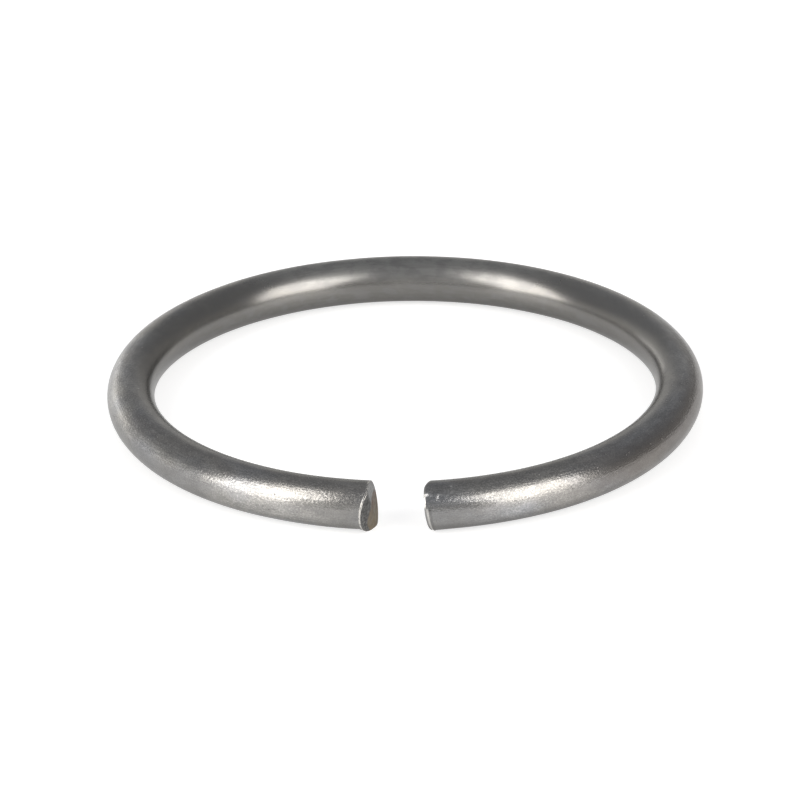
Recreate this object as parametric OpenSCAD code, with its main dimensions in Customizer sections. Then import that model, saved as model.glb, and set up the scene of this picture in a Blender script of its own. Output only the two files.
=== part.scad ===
// Round-wire retaining ring: one turn of hard drawn wire, open at the front,
// with two sheared ends that face each other across the gap.
// Millimetres. +Z is up, the ring lies flat, the origin is the ring's centre
// in the middle plane of the wire, and the gap is on the -Y side.

/* [Ring] */
// diameter of the round wire
wire_d = 2.0; // [1:0.1:4]
// free inside diameter of the ring, wire to wire
inner_d = 21.2; // [10:0.1:60]

/* [Ends] */
// clear width of the gap, square to the two end faces
end_gap = 2.2; // [1:0.1:5]
// turn of the end faces about the vertical, in degrees
end_slant = 7; // [0:1:20]
// lean of the end faces from the vertical, in degrees
end_rake = 8; // [0:1:20]
// how far the bevel nipped on each end stands clear of the middle of the end face
nip_setback = 0.1; // [0:0.05:0.25]
// turn of the nip about the vertical, in degrees
nip_slant = 33; // [0:1:40]
// lean of the nip from the vertical, against the lean of the end faces, in degrees
nip_rake = 5; // [0:1:20]

/* [Hidden] */
$fn = 128;
STEEL = [0.42, 0.42, 0.42];

mean_r = (inner_d + wire_d) / 2;
// length of the gap along the wire, at the middle of the end faces
gap_run = end_gap / (cos(end_slant) * cos(end_rake));
// clear width of the nip, square to its own faces
nip_gap = (gap_run - 2 * nip_setback) * cos(nip_slant) * cos(nip_rake);
// length and height of the cutting blocks: past the wire on every side,
// and short of the far side of the ring
cut_reach = 2 * (wire_d + end_gap);

// a full turn of round wire
module wire_turn() {
    rotate_extrude()
        translate([mean_r, 0])
            circle(d = wire_d);
}

// a flat-sided block across the wire at the middle of the gap,
// turned about the vertical and leaned from it
module gap_cut(width, slant, lean) {
    translate([0, -mean_r, 0])
        rotate([0, lean, -slant])
            cube([width, cut_reach, cut_reach], center = true);
}

module ring() {
    color(STEEL)
        difference() {
            wire_turn();
            gap_cut(end_gap, end_slant, -end_rake);
            gap_cut(nip_gap, nip_slant, nip_rake);
        }
}

ring();
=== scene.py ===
"""Looks of a round-wire retaining ring: a drawn steel wire bent to one turn, with two sheared ends.

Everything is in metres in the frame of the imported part: +Z is up, the origin is the ring's centre in
the middle plane of the wire, and the gap is on the -Y side.
"""

import math

import bmesh
import bpy
from mathutils import Matrix, Vector, noise


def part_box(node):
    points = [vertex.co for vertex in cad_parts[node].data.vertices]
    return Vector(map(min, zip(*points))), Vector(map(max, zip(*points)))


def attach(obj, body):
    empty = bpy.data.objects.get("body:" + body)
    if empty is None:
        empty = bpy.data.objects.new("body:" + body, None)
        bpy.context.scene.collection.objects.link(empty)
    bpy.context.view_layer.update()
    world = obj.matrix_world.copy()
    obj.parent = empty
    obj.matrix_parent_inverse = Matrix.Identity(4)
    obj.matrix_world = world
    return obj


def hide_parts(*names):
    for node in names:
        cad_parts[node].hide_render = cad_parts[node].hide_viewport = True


MM = 0.001
LEFT, RIGHT = -1, 1
SHEARED_SLOT = 1  # the drawn steel is in slot 0

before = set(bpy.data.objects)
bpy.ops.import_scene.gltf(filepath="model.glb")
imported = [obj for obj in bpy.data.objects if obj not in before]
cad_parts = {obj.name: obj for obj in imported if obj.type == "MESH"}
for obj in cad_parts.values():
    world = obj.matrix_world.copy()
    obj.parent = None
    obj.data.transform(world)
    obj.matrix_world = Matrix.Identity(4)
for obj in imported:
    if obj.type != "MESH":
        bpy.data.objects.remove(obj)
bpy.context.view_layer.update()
ring_low, ring_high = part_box("ring")
WIRE_R = (ring_high.z - ring_low.z) / 2
MEAN_R = ring_high.x - WIRE_R

# ---------------------------------------------------------------- the sheared ends
# As in the part, except that the right end's nip is shallower and further back.
END_GAP = 2.2 * MM
END_SLANT = math.radians(7)
END_RAKE = math.radians(8)
NIP_ANGLE = {LEFT: math.radians(33), RIGHT: math.radians(20)}
NIP_RAKE = math.radians(5)
NIP_SETBACK = {LEFT: 0.1 * MM, RIGHT: 0.178 * MM}
GAP_RUN = END_GAP / (math.cos(END_SLANT) * math.cos(END_RAKE))
FACE_SLANT = math.tan(END_SLANT)
FACE_LEAN = math.tan(END_RAKE) / math.cos(END_SLANT)
NIP_SLANT = {side: math.tan(angle) for side, angle in NIP_ANGLE.items()}
NIP_LEAN = math.tan(NIP_RAKE) / math.cos(NIP_ANGLE[LEFT])

# ---------------------------------------------------------------- how finely the wire is modelled
SECTION_SIDES = 96
SWEEP_START = END_GAP / 8
END_STRETCH = 3.0 * MM
END_STEPS = 52
END_CROWDING = 0.6
TURN_STEPS = 300
CUT_PASSES = 4
FACE_RINGS = 15
RIM_SEGMENTS = 2

# ---------------------------------------------------------------- small forms left by bending and shearing
RIM_ROUND = 0.018 * MM
RIDGE_ROUND = 0.05 * MM
LEFT_LIFT = 0.030 * MM
RIGHT_DROP = 0.010 * MM
SPRING_SPAN = math.radians(75)
SKIN_WAVE = 0.006 * MM
WAVE_LENGTH = 2.6 * MM
WAVE_WIDTH = 0.8 * MM

# The torn part of a sheared face is a disc round a place out and up on the left end's face. The right
# end's is turned half a turn. It fades toward the rim, between two distances from the wire's middle.
TORN_MIDDLE = (-0.40 * MM, -0.45 * MM)
TORN_RADIUS = 0.85 * MM
TORN_SOFT = 0.03 * MM
TORN_DEPTH = 0.050 * MM
TORN_SINK = 0.3
TORN_FADE = (0.86 * WIRE_R, 0.97 * WIRE_R)
TEAR_SIZE = 0.34 * MM
TEAR_FINER = 2.3

# A lip grows from nothing to its full height between two distances from the wire's middle.
LIP_FADE = (0.90 * WIRE_R, 0.985 * WIRE_R)

# The lips that the shears pushed out. Heights, and lengths from the cut, are in millimetres. The rest
# are degrees round the wire, where 0 is away from the ring's centre and 90 is up. A hill has a middle
# and a half width. A span is whole as far as its first angle from its middle, and gone at its second.
LEFT_BURR_MIDDLE = 8
LEFT_BURR_SPAN = (46, 78)
LEFT_BURR_HEIGHT = 0.050
LEFT_BURR_LENGTH = 0.05
LEFT_FLARE_HILL = (-62, 58)
LEFT_FLARE_HEIGHT = 0.070
LEFT_FLARE_LENGTH = 0.34
RIGHT_BURR_HILL = (30, 45)
RIGHT_BURR_HEIGHT = 0.022
RIGHT_BURR_LENGTH = 0.045
RIGHT_FLARE_HILL = (-78, 50)
RIGHT_FLARE_HEIGHT = 0.020
RIGHT_FLARE_LENGTH = 0.9

# The pressed flat at the low front of the right end, and the ridge where it stops. Its middle and its
# span are in degrees round the wire, and the rest in millimetres.
FLAT_MIDDLE = -30
FLAT_SPAN = (26, 50)
FLAT_LENGTH = 0.17
FLAT_WANDER = 0.02
FLAT_START = 0.06
FLAT_DEPTH = 0.050
FLAT_RIDGE_HEIGHT = 0.026
FLAT_RIDGE_WIDTH = 0.045

# The groove and the two bruises on top of the right end. Each has its angle round the wire and its
# distance from the cut, then how wide, how long and how deep it is, in degrees and millimetres.
BRUISES = (
    (48, 0.22, 6, 0.13, 0.055),
    (60, 0.42, 7, 0.10, 0.034),
    (44, 0.64, 6, 0.09, 0.028),
)

# ---------------------------------------------------------------- finishes
GRAIN_DEPTH = 0.014 * MM
TEAR_GRIT = 0.020 * MM
EDGE_TINT = (0.76, 0.76, 0.76, 1.0)  # darkens the metal where it is seen edge on
DRAWN_STREAK = 0.6
STREAK_TURN = 0.25
FAR_AWAY = 100  # millimetres, nowhere near a cut

# Colours of the drawn steel.
RUBBED_COOL = (0.325, 0.330, 0.342)
RUBBED_WARM = (0.332, 0.324, 0.308)
RUBBED_CLOUD = (0.360, 0.342, 0.322)
INSIDE_BEND = (0.202, 0.196, 0.186)
# Painted shade: the inner side darkened low down, near the floor, where contact shade falls.
INNER_LOW_PAINTED_SHADE = (0.128, 0.125, 0.118)
# Painted reflection: the top of the ring's back made lighter, standing in for a brighter reflection there.
BACK_PAINTED_REFLECTION = (0.36, 0.357, 0.345)
DARK_MOTTLE = (0.190, 0.188, 0.188)
LIGHT_MOTTLE = (0.40, 0.395, 0.385)
DRAWN_LINE = (0.20, 0.195, 0.19)
LIGHT_GRAIN = (0.58, 0.57, 0.55)
DARK_GRAIN = (0.14, 0.14, 0.14)
PIT = (0.12, 0.115, 0.11)
NICK = (0.80, 0.79, 0.77)
# Brown tint and painted shade: the low outer right side, darkened where it reflects the darker right of the
# room.
BROWN_AND_PAINTED_SHADE = (0.165, 0.150, 0.138)
# Painted shade: the front of the wire by the gap, darker where it reflects the dark camera side.
GAP_PAINTED_SHADE = (0.190, 0.187, 0.182)
# Painted shade: the lower outer side of the far left, darkened as near the shaded floor.
FAR_LEFT_PAINTED_SHADE = (0.195, 0.193, 0.190)
# A lighter colour on top of the rear right.
REAR_RIGHT_LIGHTER_TOP = (0.370, 0.366, 0.358)
# Painted shade: the underside darkened where contact shade from the floor falls.
UNDERSIDE_PAINTED_SHADE = (0.080, 0.077, 0.072)
# Painted highlight: a bright line along the crease low on the right end, where its burr catches the light.
CREASE_PAINTED_HIGHLIGHT = (0.62, 0.61, 0.58)
CRUSHED = (0.10, 0.098, 0.095)
LEFT_RIM = (0.70, 0.68, 0.64)
# Painted highlight: the right end's rim lightened only on top, where it catches the light.
RIGHT_RIM_PAINTED_HIGHLIGHT = (0.70, 0.69, 0.66)

# Colours of the sheared steel.
TORN_LOW = (0.152, 0.124, 0.084)
TORN_HIGH = (0.128, 0.090, 0.074)
TORN_STAIN = (0.150, 0.134, 0.112)
TORN_DARK = (0.07, 0.055, 0.045)
SMEAR_DARK = (0.055, 0.054, 0.052)
SMEAR_LIGHT = (0.150, 0.148, 0.143)

# ---------------------------------------------------------------- floor, sky, lights and camera
FLOOR_HALF_SIZE = 1.5
FLOOR_GLOW = 0.68
FLOOR_TONE = (0.55, 0.55, 0.55, 1.0)
FLOOR_ROUGHNESS = 0.35
WHITE = (1.0, 1.0, 1.0, 1.0)

HORIZON_LEFT = (0.88, 0.87, 0.85)
HORIZON_RIGHT = (0.44, 0.43, 0.42)
OVERHEAD_REAR = (0.345, 0.35, 0.362)
OVERHEAD_FRONT = (0.45, 0.455, 0.467)

LIGHT_DISTANCE = 0.6
WARM_WHITE = (1.0, 0.97, 0.93)
PALE_WHITE = (1.0, 0.98, 0.95)

CAMERA_DISTANCE = 214.9 * MM
CAMERA_AZIMUTH = math.radians(1.27)
CAMERA_ELEVATION = math.radians(24.45)
CAMERA_ROLL = math.radians(-0.95)
CAMERA_NEAR = 0.01
SENSOR_WIDTH = 36
LENS = 228.4
SHIFT = (-0.0063, -0.0167)


# ---------------------------------------------------------------- the wire
def smooth(low, high, value):
    """0 below low, 1 above high, and an easy curve between them."""
    t = min(max((value - low) / (high - low), 0.0), 1.0)
    return t * t * (3 - 2 * t)


def hill(middle, half_width, value):
    """1 at the middle, falling easily to 0 at half_width on both sides of it."""
    return 1 - smooth(0, half_width, abs(value - middle))


def setback(side, out, up):
    """How far the end's surface stands back from the middle of the gap, along X.
    out is measured from the middle of the wire away from the ring's centre, and up from its middle plane."""
    face = GAP_RUN / 2 - side * (FACE_SLANT * out + FACE_LEAN * up)
    nip = GAP_RUN / 2 - NIP_SETBACK[side] - side * (NIP_SLANT[side] * out - NIP_LEAN * up)
    near = max(RIDGE_ROUND - abs(face - nip), 0.0)
    return max(face, nip) + near * near / (4 * RIDGE_ROUND)


def round_the_turn(place):
    """Angle of a point round the ring, from the gap, positive to the right."""
    return math.atan2(place.x, -place.y)


def from_the_middle(vert):
    """A point's offset from the middle of the wire, then how far out and how far up that is."""
    radius = math.hypot(vert.co.x, vert.co.y)
    out, up = radius - MEAN_R, vert.co.z
    return Vector((vert.co.x / radius * out, vert.co.y / radius * out, up)), out, up


def wire_turn(mesh):
    """A round section swept once round, in fine steps near both ends. Returns the angles from the
    middle of the gap at which an end's fine stretch starts and stops."""
    start = SWEEP_START / MEAN_R
    fine = END_STRETCH / MEAN_R
    section = bmesh.ops.create_circle(mesh, segments=SECTION_SIDES, radius=WIRE_R)["verts"]
    across_the_wire = Matrix.Rotation(math.radians(90), 3, "X")
    bmesh.ops.rotate(mesh, verts=section, cent=(0, 0, 0), matrix=across_the_wire)
    bmesh.ops.translate(mesh, verts=section, vec=(MEAN_R, 0, 0))
    to_the_gap = Matrix.Rotation(math.radians(-90) + start, 3, "Z")
    bmesh.ops.rotate(mesh, verts=section, cent=(0, 0, 0), matrix=to_the_gap)
    last = section + list(mesh.edges)
    stretches = (
        (fine, END_STEPS),
        (2 * math.pi - 2 * start - 2 * fine, TURN_STEPS),
        (fine, END_STEPS),
    )
    for angle, steps in stretches:
        swept = bmesh.ops.spin(
            mesh, geom=last, cent=(0, 0, 0), axis=(0, 0, 1), angle=angle, steps=steps, use_merge=False
        )
        last = swept["geom_last"]
    return start, start + fine


def slide_ends_to_the_cut(mesh, start, stop):
    """Slides the end stretches along the wire until each end lies in its cut, closer together there."""
    for vert in mesh.verts:
        angle = round_the_turn(vert.co)
        if abs(angle) > stop:
            continue
        side = RIGHT if angle > 0 else LEFT
        radius = math.hypot(vert.co.x, vert.co.y)
        rim = start
        for _ in range(CUT_PASSES):
            back = setback(side, radius * math.cos(rim) - MEAN_R, vert.co.z)
            rim = math.asin(back / radius)
        part_way = (abs(angle) - start) / (stop - start)
        part_way *= 1 - END_CROWDING * (1 - part_way)
        moved = rim + part_way * (stop - rim)
        vert.co.x = side * radius * math.sin(moved)
        vert.co.y = -radius * math.cos(moved)


def fill_end(mesh, side):
    """Fills one end with a face and rounds its rim."""
    rim = [edge for edge in mesh.edges if edge.is_boundary and edge.verts[0].co.x * side > 0]
    bmesh.ops.contextual_create(mesh, geom=rim)
    bmesh.ops.bevel(
        mesh, geom=rim, offset=RIM_ROUND, segments=RIM_SEGMENTS, profile=0.5, material=-1, affect="EDGES",
        clamp_overlap=True,
    )


def divide_face(mesh, side):
    """Divides one end's face into rings of faces round its middle, all of sheared steel."""
    face = max((f for f in mesh.faces if f.calc_center_median().x * side > 0), key=lambda f: len(f.verts))
    cap = [face]
    for rings_left in range(FACE_RINGS, 0, -1):
        made = bmesh.ops.inset_individual(mesh, faces=[face], thickness=0.0, use_even_offset=False)
        cap += made["faces"]
        smaller = rings_left / (rings_left + 1)
        bmesh.ops.scale(
            mesh, verts=face.verts, vec=(1, smaller, smaller), space=Matrix.Translation((0, MEAN_R, 0))
        )
    cap += bmesh.ops.poke(mesh, faces=[face])["faces"]
    for part in cap:
        if part.is_valid:
            part.material_index = SHEARED_SLOT


def close_ends(mesh):
    """Closes both ends of the wire with rounded and divided faces."""
    for side in (LEFT, RIGHT):
        fill_end(mesh, side)
    bmesh.ops.recalc_face_normals(mesh, faces=mesh.faces)
    for side in (LEFT, RIGHT):
        divide_face(mesh, side)


def height_of_tear(side, out, up):
    """Height of the torn face at a place on it: coarse steps across the shear with finer grit on them."""
    place = Vector((out, up * 0.7, side * 3 * MM)) / TEAR_SIZE
    return noise.noise(place) * 0.55 + noise.noise(place * TEAR_FINER) * 0.45


def relief_the_faces(mesh):
    """Lays the end faces' inner points on the cut, torn on one side and burnished smooth on the other."""
    for vert in mesh.verts:
        if not all(face.material_index == SHEARED_SLOT for face in vert.link_faces):
            continue
        side = RIGHT if vert.co.x > 0 else LEFT
        out, up = -vert.co.y - MEAN_R, vert.co.z
        from_torn = math.hypot(-side * out - TORN_MIDDLE[0], -side * up - TORN_MIDDLE[1])
        torn = 1 - smooth(TORN_RADIUS - TORN_SOFT, TORN_RADIUS + TORN_SOFT, from_torn)
        torn *= 1 - smooth(*TORN_FADE, math.hypot(out, up))
        sunk = torn * (TORN_SINK + height_of_tear(side, out, up)) * TORN_DEPTH
        vert.co.x = side * (setback(side, out, up) + sunk)


def bell(value, width):
    """1 at 0, falling away on both sides over about this width."""
    return math.exp(-((value / width) ** 2))


def left_lip(round_it, d):
    """A ragged burr over the outer side of the left end, and a flare below it, in millimetres.
    round_it is the angle round the wire in degrees, and d the distance from the cut in millimetres."""
    wobble = noise.noise(Vector((round_it / 17, LEFT * 4.0, 0)))
    ragged = noise.noise(Vector((round_it / 5, d * 6, 9.0)))
    reach = 1 - smooth(*LEFT_BURR_SPAN, abs(round_it - LEFT_BURR_MIDDLE))
    burr = reach * (1 + 0.5 * wobble + 0.6 * ragged) * bell(d, LEFT_BURR_LENGTH) * LEFT_BURR_HEIGHT
    opened = 1 - smooth(0, LEFT_FLARE_LENGTH, d)
    flare = hill(*LEFT_FLARE_HILL, round_it) * opened * LEFT_FLARE_HEIGHT
    return burr + flare


def right_lip(round_it, d):
    """A low burr, a long low flare, the pressed flat with its ridge, and the bruises at the right end,
    measured as for the left one."""
    wobble = noise.noise(Vector((round_it / 17, RIGHT * 4.0, 0)))
    burr = hill(*RIGHT_BURR_HILL, round_it) * bell(d, RIGHT_BURR_LENGTH) * RIGHT_BURR_HEIGHT
    opened = 1 - smooth(0, RIGHT_FLARE_LENGTH, d)
    flare = hill(*RIGHT_FLARE_HILL, round_it) * opened * RIGHT_FLARE_HEIGHT
    bend_line = FLAT_LENGTH + FLAT_WANDER * wobble
    ridge = hill(bend_line, FLAT_RIDGE_WIDTH, d) * FLAT_RIDGE_HEIGHT
    pressed = (1 - smooth(FLAT_START, bend_line, d)) * FLAT_DEPTH
    low_front = 1 - smooth(*FLAT_SPAN, abs(round_it - FLAT_MIDDLE))
    dents = 0.0
    for angle, place, wide, long, deep in BRUISES:
        dents -= deep * math.exp(-(((round_it - angle) / wide) ** 2) - ((d - place) / long) ** 2)
    return burr + flare + low_front * (ridge - pressed) + dents


def push_out_the_lips(mesh):
    """Raises the burrs and flares at both ends, and leaves the small bruises."""
    for vert in mesh.verts:
        if vert.co.y > 0 or abs(vert.co.x) > END_STRETCH:
            continue
        side = RIGHT if vert.co.x > 0 else LEFT
        offset, out, up = from_the_middle(vert)
        distance = math.hypot(out, up)
        if distance < WIRE_R / 2:
            continue
        depth = max(abs(vert.co.x) - setback(side, -vert.co.y - MEAN_R, up), 0.0) / MM
        round_it = math.degrees(math.atan2(up, out))
        lip = right_lip(round_it, depth) if side == RIGHT else left_lip(round_it, depth)
        push = lip * MM * smooth(*LIP_FADE, distance)
        vert.co += offset / distance * push


def waver_the_skin(mesh):
    """The drawn skin is a few microns off round, in long shallow waves."""
    for vert in mesh.verts:
        if any(face.material_index == SHEARED_SLOT for face in vert.link_faces):
            continue
        offset, out, up = from_the_middle(vert)
        along = MEAN_R * math.atan2(vert.co.x, vert.co.y)
        place = Vector((along / WAVE_LENGTH, out / WAVE_WIDTH, up / WAVE_WIDTH))
        vert.co += offset.normalized() * (noise.noise(place) * SKIN_WAVE)


def spring_the_ends(mesh):
    """The coil's leftover twist: one end stands a little proud of the other."""
    for vert in mesh.verts:
        angle = round_the_turn(vert.co)
        bent = max(1 - abs(angle) / SPRING_SPAN, 0.0) ** 2
        vert.co.z += bent * (LEFT_LIFT if angle < 0 else -RIGHT_DROP)


def add_object(name, data):
    """Puts a new object in the scene."""
    made = bpy.data.objects.new(name, data)
    bpy.context.scene.collection.objects.link(made)
    return made


def add_mesh(name, mesh):
    """Puts a finished mesh in the scene."""
    data = bpy.data.meshes.new(name)
    mesh.to_mesh(data)
    mesh.free()
    return add_object(name, data)


def build_wire():
    """The whole ring as one closed mesh."""
    mesh = bmesh.new()
    start, stop = wire_turn(mesh)
    slide_ends_to_the_cut(mesh, start, stop)
    close_ends(mesh)
    relief_the_faces(mesh)
    push_out_the_lips(mesh)
    waver_the_skin(mesh)
    spring_the_ends(mesh)
    for face in mesh.faces:
        face.smooth = True
    return add_mesh("drawn_wire", mesh)


# ---------------------------------------------------------------- shader maths as expressions
class Sock:
    """A node's output, with the operators that the recipes below use."""

    def __init__(self, recipe, socket):
        self.recipe = recipe
        self.socket = socket

    def maths(self, operation, *values):
        inputs = dict(enumerate(values))
        return self.recipe.node("ShaderNodeMath", {"operation": operation}, inputs)

    def __add__(self, other):
        return self.maths("ADD", self, other)

    def __radd__(self, other):
        return self.maths("ADD", other, self)

    def __sub__(self, other):
        return self.maths("SUBTRACT", self, other)

    def __rsub__(self, other):
        return self.maths("SUBTRACT", other, self)

    def __mul__(self, other):
        return self.maths("MULTIPLY", self, other)

    def __rmul__(self, other):
        return self.maths("MULTIPLY", other, self)

    def __truediv__(self, other):
        return self.maths("DIVIDE", self, other)

    def __pow__(self, other):
        return self.maths("POWER", self, other)

    def step(self, low, high):
        """0 up to low and 1 from high on, with an easy curve between them. low may be the larger."""
        settings = {"interpolation_type": "SMOOTHSTEP"}
        inputs = {"Value": self, "From Min": low, "From Max": high}
        return self.recipe.node("ShaderNodeMapRange", settings, inputs)


class Recipe:
    """A node tree that is written out call by call."""

    def __init__(self, tree):
        self.tree = tree
        tree.nodes.clear()

    def node(self, kind, settings=None, inputs=None, output=0):
        made = self.tree.nodes.new(kind)
        for name, value in (settings or {}).items():
            setattr(made, name, value)
        for name, value in (inputs or {}).items():
            if isinstance(value, Sock):
                self.tree.links.new(value.socket, made.inputs[name])
            else:
                made.inputs[name].default_value = value
        return Sock(self, made.outputs[output]) if len(made.outputs) else None

    def mix(self, factor, first, second):
        """Two colours mixed by a factor."""
        inputs = {0: factor, 6: colour(first), 7: colour(second)}
        return self.node("ShaderNodeMix", {"data_type": "RGBA"}, inputs, output=2)

    def vector(self, x, y, z):
        return self.node("ShaderNodeCombineXYZ", None, {0: x, 1: y, 2: z})

    def parts(self, vector):
        """A vector's x, y and z."""
        return (self.node("ShaderNodeSeparateXYZ", None, {0: vector}, output=n) for n in range(3))

    def noise(self, where, scale, detail=2.0, rough=0.5):
        inputs = {"Vector": where, "Scale": scale, "Detail": detail, "Roughness": rough}
        return self.node("ShaderNodeTexNoise", None, inputs)

    def scattered(self, where, scale):
        """Distance to the nearest of many scattered points."""
        inputs = {"Vector": where, "Scale": scale, "Randomness": 1.0}
        return self.node("ShaderNodeTexVoronoi", {"feature": "F1"}, inputs)

    def bump(self, distance, height):
        inputs = {"Strength": 1.0, "Distance": distance, "Height": height}
        return self.node("ShaderNodeBump", None, inputs)

    def surface(self, finish):
        shader = self.node("ShaderNodeBsdfPrincipled", None, finish)
        self.node("ShaderNodeOutputMaterial", None, {"Surface": shader})


def colour(value):
    """A plain colour with its fourth part, or a socket as it is."""
    return value if isinstance(value, Sock) else (*value, 1.0)


def new_material(name):
    """An empty material, and the recipe to fill it with."""
    material = bpy.data.materials.new(name)
    material.use_nodes = True
    return material, Recipe(material.node_tree)


# ---------------------------------------------------------------- where things are on the wire
def along_the_wire(recipe):
    """Place on the wire as if it were straight: along it from the back of the ring, out from its
    middle away from the ring's centre, and up from its middle plane. Then the plain x and y. All are
    in millimetres."""
    x, y, z = recipe.parts(recipe.node("ShaderNodeTexCoord", output=3))
    radius = (x * x + y * y) ** 0.5
    along = x.maths("ARCTAN2", x, y) * (MEAN_R / MM)
    place = along, (radius - MEAN_R) / MM, z / MM
    return place, x / MM, y / MM


def drawn_out(recipe, place, squeeze, scale, detail, rough=0.5):
    """Noise that is stretched along the wire: the smaller the squeeze, the longer its marks."""
    along, out, up = place
    return recipe.noise(recipe.vector(along * squeeze, out, up), scale, detail, rough)


def by_side(side, values):
    """The left or the right end's value, where side is -1 or 1."""
    return side * ((values[RIGHT] - values[LEFT]) / 2) + (values[RIGHT] + values[LEFT]) / 2


def depth_from_the_cut(x, y, up):
    """Distance of a place from its end's cut, in millimetres along X, and that end's side."""
    side = x.maths("SIGN", x)
    out = -1.0 * y - MEAN_R / MM
    face = GAP_RUN / 2 / MM - side * (out * FACE_SLANT + up * FACE_LEAN)
    setback_here = by_side(side, NIP_SETBACK) / MM
    nip = GAP_RUN / 2 / MM - setback_here - side * (out * by_side(side, NIP_SLANT) - up * NIP_LEAN)
    behind_the_gap = y.step(0.0, 1.0) * FAR_AWAY
    return side * x - face.maths("MAXIMUM", face, nip) + behind_the_gap, side


# ---------------------------------------------------------------- drawn steel
def sides_of_the_wire(recipe, place, outside, back_painted_reflection):
    """Rubbed steel outside, darker steel inside the bend, painted shade low inside it, and a painted
    reflection brightening the top of the back.
    """
    _, _, up = place
    clouds = drawn_out(recipe, place, 0.35, 0.9, 3.0)
    tint = drawn_out(recipe, place, 0.5, 0.55, 2.0)
    rubbed = recipe.mix(tint.step(0.40, 0.60), RUBBED_COOL, RUBBED_WARM)
    rubbed = recipe.mix(clouds.step(0.45, 0.70) * 0.6, rubbed, RUBBED_CLOUD)
    base = recipe.mix(outside, INSIDE_BEND, rubbed)
    # Painted shade low on the inner side of the wire, near the floor.
    inner_low_painted_shade = (1 - outside) * (1 - up.step(-0.35, 0.45))
    base = recipe.mix(inner_low_painted_shade * 0.85, base, INNER_LOW_PAINTED_SHADE)
    # Painted reflection brightening the top of the back.
    return recipe.mix(back_painted_reflection * 0.85, base, BACK_PAINTED_REFLECTION)


def marks_on_the_skin(recipe, base, place, outside, mottle, lines, pits):
    """Mottle, drawn lines, fine grain, pits and scattered nicks."""
    along, out, up = place
    sparkle = drawn_out(recipe, place, 0.8, 17.0, 1.0)
    nick = recipe.scattered(recipe.vector(along * 0.5, out, up), 1.25)
    nicked = (1 - nick.step(0.03, 0.07)) * out.step(-0.35, 0.0)
    base = recipe.mix(mottle.step(0.42, 0.62) * 0.42, base, DARK_MOTTLE)
    base = recipe.mix(mottle.step(0.48, 0.30) * (0.05 + outside * 0.30), base, LIGHT_MOTTLE)
    base = recipe.mix(lines.step(0.35, 0.75) * 0.30, base, DRAWN_LINE)
    base = recipe.mix(sparkle.step(0.50, 0.72) * outside * 0.32, base, LIGHT_GRAIN)
    base = recipe.mix(sparkle.step(0.50, 0.28) * outside * 0.35, base, DARK_GRAIN)
    base = recipe.mix(pits * 0.6, base, PIT)
    return recipe.mix(nicked * 0.7, base, NICK)


def painted_shade_and_tones(recipe, base, place, x, y, outside):
    """Brown tint and painted shade low on the right, painted shade at the front by the gap, low on the far
    left and underneath, and a lighter top at the rear right.
    """
    _, out, up = place
    # A brown tint with painted shade, low on the outer right side.
    brown_and_painted_shade = x.step(4.5, 10.0) * out.step(0.15, 0.85) * up.step(-0.9, 0.0)
    base = recipe.mix(brown_and_painted_shade * 0.75, base, BROWN_AND_PAINTED_SHADE)
    # Painted shade on the lower front of the wire near the gap.
    gap_painted_shade = (1 - x.maths("ABSOLUTE", x).step(2.0, 5.0)) * (1 - y.step(-10.0, -8.0))
    gap_painted_shade = gap_painted_shade * (1 - up.step(0.25, 0.60)) * outside
    base = recipe.mix(gap_painted_shade * 0.65, base, GAP_PAINTED_SHADE)
    # Painted shade on the lower outer far left.
    far_left_painted_shade = (1 - x.step(-9.0, -6.3)) * (1 - up.step(0.08, 0.45)) * outside
    base = recipe.mix(far_left_painted_shade * 0.60, base, FAR_LEFT_PAINTED_SHADE)
    # Lighter colour on top of the rear right of the ring.
    rear_right_lighter_top = x.step(4.5, 9.0) * y.step(1.0, 5.0) * up.step(0.45, 0.80)
    base = recipe.mix(rear_right_lighter_top * 0.30, base, REAR_RIGHT_LIGHTER_TOP)
    # Painted shade underneath the wire, stronger toward the right.
    underside_painted_shade = 1 - up.step(-0.95, -0.20)
    return recipe.mix(underside_painted_shade * (0.62 + x.step(-2.0, 8.0) * 0.36), base, UNDERSIDE_PAINTED_SHADE)


def sheared_rims(recipe, base, place, x, y, grain):
    """Bright rims at both ends, the right one's only on top as a painted highlight, with a painted highlight
    along a crease and a dark crushed band low on the right end.
    """
    _, out, up = place
    depth, side = depth_from_the_cut(x, y, up)
    right = side.step(-0.5, 0.5)
    low_right = right * (1 - up.step(0.22, 0.42)) * out.step(-0.2, 0.2)
    # Painted highlight along the crease low on the right end.
    crease_painted_highlight = depth.step(0.04, 0.09) * (1 - depth.step(0.13, 0.18)) * low_right
    base = recipe.mix(crease_painted_highlight * 0.50, base, CREASE_PAINTED_HIGHLIGHT)
    crushed = depth.step(0.15, 0.20) * (1 - depth.step(0.23, 0.31)) * low_right
    base = recipe.mix(crushed * 0.45, base, CRUSHED)
    rim = 1 - depth.step(0.03, 0.10)
    base = recipe.mix(rim * (1 - right) * grain.step(0.32, 0.52) * 0.8, base, LEFT_RIM)
    # Painted highlight on top of the right end's rim.
    return recipe.mix(rim * right * up.step(0.25, 0.50) * 0.6, base, RIGHT_RIM_PAINTED_HIGHLIGHT)


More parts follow.
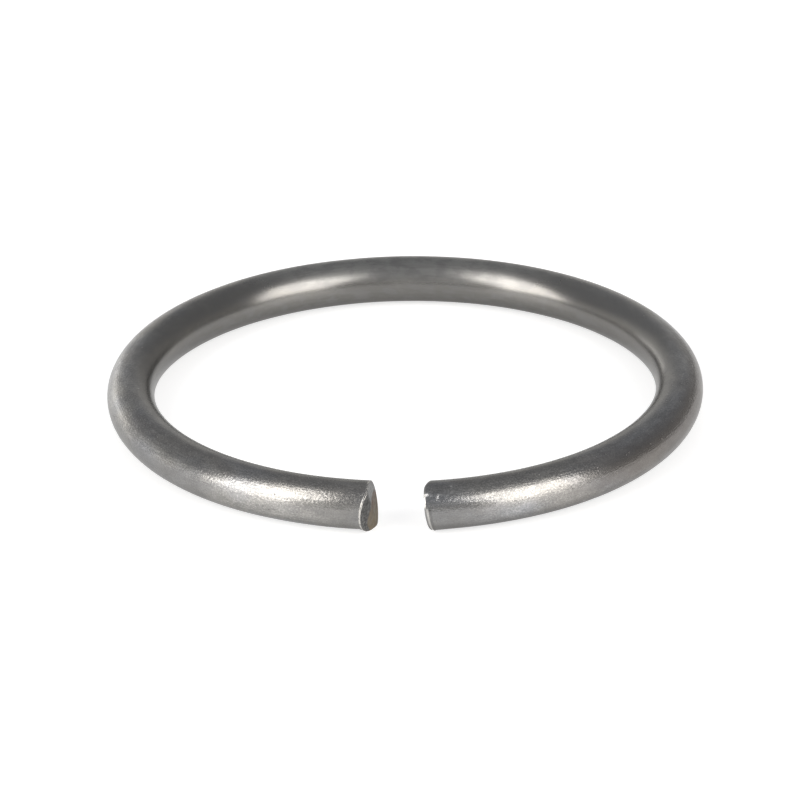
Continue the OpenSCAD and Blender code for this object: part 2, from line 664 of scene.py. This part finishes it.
def steel_material():
    """Drawn and bent steel: darker and duller inside the bend, rubbed brighter outside it."""
    material, recipe = new_material("drawn_steel")
    place, x, y = along_the_wire(recipe)
    along, out, up = place
    straight = recipe.vector(along, out, up)
    outside = out.step(-0.75, 0.55)
    # Painted reflection: a lighter and slightly rougher patch on top of the ring's back.
    back_painted_reflection = y.step(8.4, 10.8) * up.step(0.05, 0.70)
    mottle = drawn_out(recipe, place, 0.55, 2.1, 3.0, 0.6)
    lines = drawn_out(recipe, place, 0.06, 13.0, 3.0, 0.6)
    grain = drawn_out(recipe, place, 0.8, 11.0, 1.0)
    chance = recipe.noise(straight, 1.3, 1.0)
    spot = recipe.scattered(straight, 4.2)
    pits = (1 - spot.step(0.06, 0.15)) * chance.step(0.52, 0.62) * outside

    base = sides_of_the_wire(recipe, place, outside, back_painted_reflection)
    base = marks_on_the_skin(recipe, base, place, outside, mottle, lines, pits)
    base = painted_shade_and_tones(recipe, base, place, x, y, outside)
    base = sheared_rims(recipe, base, place, x, y, grain)
    height = (grain * 0.50 + lines * 0.50 - pits * 0.8) * (0.25 + outside * 0.75)
    recipe.surface({
        "Base Color": base,
        "Metallic": 1.0,
        "Roughness": 0.22 + mottle * 0.07 + pits * 0.2 + back_painted_reflection * 0.08,
        "Normal": recipe.bump(GRAIN_DEPTH, height),
        "Specular Tint": EDGE_TINT,
        "Anisotropic": DRAWN_STREAK,
        "Anisotropic Rotation": STREAK_TURN,
    })
    return material


# ---------------------------------------------------------------- sheared steel
def sheared_material():
    """The cut ends: a burnished band where the shears entered, torn and stained brown beyond it."""
    material, recipe = new_material("sheared_steel")
    (along, out, up), x, _ = along_the_wire(recipe)
    toward_entry = x.maths("SIGN", x) * -1.0
    across = toward_entry * out - TORN_MIDDLE[0] / MM
    above = toward_entry * up - TORN_MIDDLE[1] / MM
    from_torn = (across * across + above * above) ** 0.5
    straight = recipe.vector(along, out, up)
    grain = recipe.noise(straight, 9.0, 4.0, 0.6)
    stain = recipe.noise(straight, 2.2, 3.0)
    ragged = from_torn + (grain - 0.5) * 0.12
    burnished = ragged.step((TORN_RADIUS - TORN_SOFT) / MM, (TORN_RADIUS + TORN_SOFT) / MM)
    torn = recipe.mix(up.step(-0.5, 0.5), TORN_LOW, TORN_HIGH)
    torn = recipe.mix(stain.step(0.40, 0.65) * 0.6, torn, TORN_STAIN)
    torn = recipe.mix(grain.step(0.55, 0.70) * 0.6, torn, TORN_DARK)
    smeared = recipe.mix(grain.step(0.40, 0.65), SMEAR_DARK, SMEAR_LIGHT)
    recipe.surface({
        "Base Color": recipe.mix(burnished, torn, smeared),
        "Metallic": 0.5 + burnished * 0.5,
        "Roughness": 0.60 - burnished * 0.22,
        "Normal": recipe.bump(TEAR_GRIT, grain),
    })
    return material


# ---------------------------------------------------------------- the stage
def floor_material():
    """A pale floor that glows, so that it stays white round the ring."""
    material, recipe = new_material("pale_floor")
    recipe.surface({
        "Base Color": FLOOR_TONE,
        "Roughness": FLOOR_ROUGHNESS,
        "Emission Color": WHITE,
        "Emission Strength": FLOOR_GLOW,
    })
    return material


def build_floor(height):
    """A wide floor at the height of the wire's lowest point."""
    mesh = bmesh.new()
    bmesh.ops.create_grid(mesh, x_segments=1, y_segments=1, size=FLOOR_HALF_SIZE)
    bmesh.ops.translate(mesh, verts=mesh.verts, vec=(0, 0, height))
    floor = add_mesh("floor", mesh)
    floor.data.materials.append(floor_material())


def softbox(name, azimuth, elevation, width, height, lean, power, tone=WARM_WHITE):
    """A soft area light aimed at the ring, turned about its own axis by lean. azimuth 0 is on the
    camera's side, positive to the right."""
    a, e = math.radians(azimuth), math.radians(elevation)
    toward = Vector((math.sin(a) * math.cos(e), -math.cos(a) * math.cos(e), math.sin(e)))
    place = toward * LIGHT_DISTANCE
    lamp = bpy.data.lights.new(name, "AREA")
    lamp.shape = "RECTANGLE"
    lamp.size = width
    lamp.size_y = height
    lamp.energy = power
    lamp.color = tone
    light = add_object(name, lamp)
    aimed = place.to_track_quat("Z", "Y").to_matrix() @ Matrix.Rotation(math.radians(lean), 3, "Z")
    light.matrix_world = Matrix.Translation(place) @ aimed.to_4x4()
    light.visible_camera = False


def build_world():
    """A room that is bright low on the left, dark low on the right and dim overhead."""
    world = bpy.data.worlds.new("studio")
    bpy.context.scene.world = world
    world.use_nodes = True
    recipe = Recipe(world.node_tree)
    x, y, z = recipe.parts(recipe.node("ShaderNodeTexCoord", output=0))
    roof = z.step(0.20, 0.50)
    horizon = recipe.mix(x.step(-0.1, 0.5), HORIZON_LEFT, HORIZON_RIGHT)
    overhead = recipe.mix(y.step(0.15, -0.50), OVERHEAD_REAR, OVERHEAD_FRONT)
    tone = recipe.mix(roof, horizon, overhead)
    sky = recipe.node("ShaderNodeBackground", None, {"Color": tone, "Strength": 1.0})
    recipe.node("ShaderNodeOutputWorld", None, {"Surface": sky})


def build_camera():
    """A long lens in front and above, rolled a little about its own axis."""
    level = Vector((math.sin(CAMERA_AZIMUTH), -math.cos(CAMERA_AZIMUTH), 0))
    back = level * math.cos(CAMERA_ELEVATION) + Vector((0, 0, math.sin(CAMERA_ELEVATION)))
    right = Vector((math.cos(CAMERA_AZIMUTH), math.sin(CAMERA_AZIMUTH), 0))
    up = back.cross(right)
    turn = Matrix.Rotation(CAMERA_ROLL, 3, back)
    axes = Matrix((turn @ right, turn @ up, back)).transposed()
    lens = bpy.data.cameras.new("camera")
    lens.lens = LENS
    lens.sensor_width = SENSOR_WIDTH
    lens.clip_start = CAMERA_NEAR
    lens.shift_x, lens.shift_y = SHIFT
    camera = add_object("camera", lens)
    camera.matrix_world = Matrix.Translation(back * CAMERA_DISTANCE) @ axes.to_4x4()
    bpy.context.scene.camera = camera


wire = build_wire()
wire.data.materials.append(steel_material())
wire.data.materials.append(sheared_material())
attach(wire, "root")
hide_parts("ring")

build_floor(min(vert.co.z for vert in wire.data.vertices))
build_world()
softbox("left_softbox", azimuth=-56, elevation=27, width=0.36, height=0.50, lean=-14, power=2.28)
softbox("left_top_softbox", azimuth=-57, elevation=57, width=0.14, height=0.12, lean=25, power=0.17)
softbox("right_softbox", azimuth=51, elevation=28, width=0.40, height=0.52, lean=4, power=2.45)
softbox(
    "rear_left_softbox", azimuth=-142, elevation=4, width=0.34, height=0.10, lean=0, power=0.14,
    tone=PALE_WHITE,
)
build_camera()
bpy.context.scene.view_settings.view_transform = "Standard"
